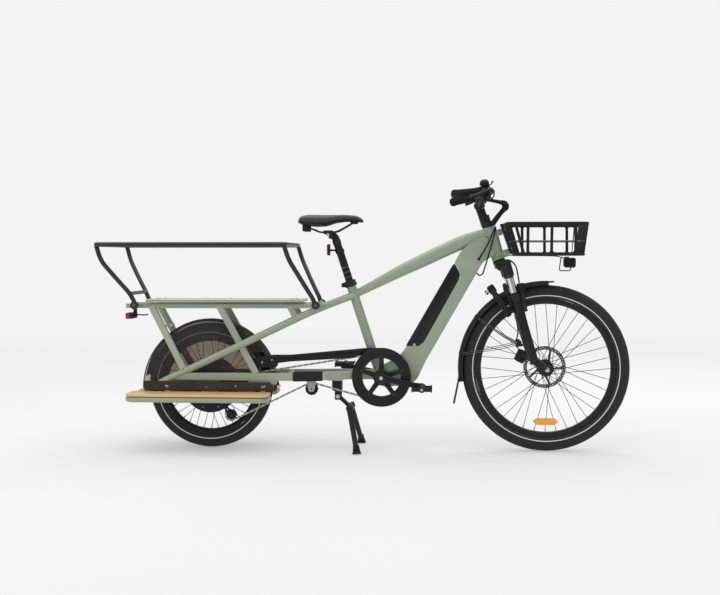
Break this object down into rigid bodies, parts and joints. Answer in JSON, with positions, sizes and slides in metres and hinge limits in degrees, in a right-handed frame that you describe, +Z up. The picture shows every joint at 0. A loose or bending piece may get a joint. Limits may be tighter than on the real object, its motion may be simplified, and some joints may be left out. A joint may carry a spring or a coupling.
{
  "type": "long-tail electric cargo bicycle",
  "caption": "Long-tail electric cargo bicycle with suspension fork, front basket, wooden rear deck and footboards, passenger rail, centre stand, hub motor and down-tube battery.",
  "frame": {"origin": "on the ground, midway along the bicycle's length and width", "axes": "+X forward, the way the bicycle rides; +Y to the rider's left; +Z up"},
  "size_m": [2.1262, 0.6386, 1.0822],
  "materials": {
    "sage_paint": "satin sage-green powder coat",
    "black_paint": "satin black powder coat",
    "black_plastic": "matt black moulded plastic",
    "basket_plastic": "dark grey moulded slats",
    "soft_rubber": "matt soft rubber",
    "saddle_cover": "black synthetic cover, fine grain",
    "tyre_rubber": "black tyre with a grey reflective line",
    "bare_steel": "bare steel",
    "wood": "lacquered laminated strips",
    "smoked_panel": "smoked see-through sheet",
    "red_lens": "red lens"
  },
  "bodies": {
    "frame": {"main_frame": "sage_paint", "stay_guard": "soft_rubber", "rack_deck": "wood", "passenger_rail": "black_paint", "footboard_R": "wood", "footboard_L": "wood", "footboard_frame_R": "sage_paint", "footboard_frame_L": "sage_paint", "rear_fender": "black_plastic", "wheel_skirt_R": "smoked_panel", "wheel_skirt_L": "smoked_panel", "chain_cover": "black_plastic", "chain": "bare_steel", "rear_light": "red_lens", "front_light": "black_plastic", "basket": "basket_plastic", "basket_mount": "black_paint", "rear_axle": "bare_steel", "rear_caliper": "black_paint", "derailleur": "black_paint", "kickstand_mount": "black_paint", "seat_clamp": "black_paint"},
    "battery_pack": {"battery": "black_plastic"},
    "seat_lever": {"seat_clamp_lever": "black_paint"},
    "seat": {"seat_post": "black_paint", "saddle": "saddle_cover", "saddle_rails": "black_paint"},
    "steering": {"fork_crown": "black_paint", "stem": "black_paint", "handlebar": "black_paint", "grip_R": "soft_rubber", "grip_L": "soft_rubber", "controls_R": "black_plastic", "controls_L": "black_plastic", "cable_loom": "soft_rubber"},
    "brake_lever_right": {"brake_lever_R": "black_paint"},
    "brake_lever_left": {"brake_lever_L": "black_paint"},
    "shifter": {"shift_lever": "black_plastic"},
    "fork_lower": {"fork_lowers": "black_paint", "front_fender": "black_plastic", "wheel_lock": "black_plastic", "front_caliper": "black_paint"},
    "shackle": {"lock_shackle": "bare_steel"},
    "front_wheel": {"front_tyre": "tyre_rubber", "front_rim": "black_paint", "front_hub": "black_paint", "front_disc": "bare_steel"},
    "rear_wheel": {"rear_tyre": "tyre_rubber", "rear_rim": "black_paint", "rear_hub_motor": "black_paint", "rear_disc": "bare_steel"},
    "sprockets": {"cassette": "bare_steel"},
    "crank": {"crank_set": "black_paint", "chainring": "black_paint", "chain_guard": "black_plastic"},
    "pedal_right": {"pedal_R": "black_plastic"},
    "pedal_left": {"pedal_L": "black_plastic"},
    "idler": {"idler_wheel": "black_plastic"},
    "tensioner": {"tension_pulley": "black_plastic"},
    "stand": {"kickstand": "black_paint"}
  },
  "joints": [
    {"name": "battery_lift", "type": "slide", "parent": "frame", "child": "battery_pack", "axis": [-0.8671, 0, 0.4981], "range_m": [0, 0.035]},
    {"name": "seat_lever_swing", "type": "hinge", "parent": "frame", "child": "seat_lever", "pos_m": [-0.0909, -0.015, 0.668], "axis": [0, 0, 1], "range_deg": [-100, 0]},
    {"name": "seat_height", "type": "slide", "parent": "frame", "child": "seat", "axis": [-0.3112, 0, 0.9503], "range_m": [-0.04, 0.08]},
    {"name": "steering_turn", "type": "hinge", "parent": "frame", "child": "steering", "pos_m": [0.49909, 0, 0.903], "axis": [-0.2857, 0, 0.9583], "range_deg": [-45, 45]},
    {"name": "brake_lever_right_squeeze", "type": "hinge", "parent": "steering", "child": "brake_lever_right", "pos_m": [0.48712, -0.23141, 1.03645], "axis": [0, 0, 1], "range_deg": [-12, 0], "stiffness_Nm_per_rad": 2},
    {"name": "brake_lever_left_squeeze", "type": "hinge", "parent": "steering", "child": "brake_lever_left", "pos_m": [0.48712, 0.23141, 1.03645], "axis": [0, 0, 1], "range_deg": [0, 12], "stiffness_Nm_per_rad": 2},
    {"name": "shift_lever_turn", "type": "hinge", "parent": "steering", "child": "shifter", "pos_m": [0.48011, -0.18881, 1.0019], "axis": [0, 0, 1], "range_deg": [-15, 15], "stiffness_Nm_per_rad": 0.5},
    {"name": "fork_travel", "type": "slide", "parent": "steering", "child": "fork_lower", "axis": [-0.2857, 0, 0.9583], "range_m": [0, 0.035], "stiffness_N_per_m": 9000},
    {"name": "lock_shackle_turn", "type": "hinge", "parent": "fork_lower", "child": "shackle", "pos_m": [0.54635, 0, 0.59843], "axis": [0.8319, 0, 0.5549], "range_deg": [-100, 0]},
    {"name": "front_wheel_spin", "type": "hinge", "parent": "fork_lower", "child": "front_wheel", "pos_m": [0.72809, 0, 0.335], "axis": [0, 1, 0], "continuous": true},
    {"name": "rear_wheel_spin", "type": "hinge", "parent": "frame", "child": "rear_wheel", "pos_m": [-0.63791, 0, 0.2565], "axis": [0, 1, 0], "continuous": true},
    {"name": "crank_turn", "type": "hinge", "parent": "frame", "child": "crank", "pos_m": [0.06809, 0, 0.298], "axis": [0, 1, 0], "continuous": true},
    {"name": "pedal_right_spin", "type": "hinge", "parent": "crank", "child": "pedal_right", "pos_m": [0.23272, -0.15, 0.26451], "axis": [0, 1, 0], "continuous": true},
    {"name": "pedal_left_spin", "type": "hinge", "parent": "crank", "child": "pedal_left", "pos_m": [-0.09654, 0.15, 0.33149], "axis": [0, 1, 0], "continuous": true},
    {"name": "sprockets_turn", "type": "hinge", "parent": "frame", "child": "sprockets", "pos_m": [-0.63791, 0, 0.2565], "axis": [0, 1, 0], "continuous": true},
    {"name": "idler_turn", "type": "hinge", "parent": "frame", "child": "idler", "pos_m": [-0.21491, -0.048, 0.249], "axis": [0, 1, 0], "continuous": true},
    {"name": "tensioner_turn", "type": "hinge", "parent": "frame", "child": "tensioner", "pos_m": [-0.54591, -0.048, 0.139], "axis": [0, 1, 0], "continuous": true},
    {"name": "stand_fold", "type": "hinge", "parent": "frame", "child": "stand", "pos_m": [-0.11091, 0, 0.216], "axis": [0, 1, 0], "range_deg": [0, 105]}
  ],
  "couplings": [
    {"joint": "sprockets_turn", "follows": "crank_turn", "ratio": 4.3636},
    {"joint": "idler_turn", "follows": "crank_turn", "ratio": -4},
    {"joint": "tensioner_turn", "follows": "crank_turn", "ratio": 4.3636}
  ]
}
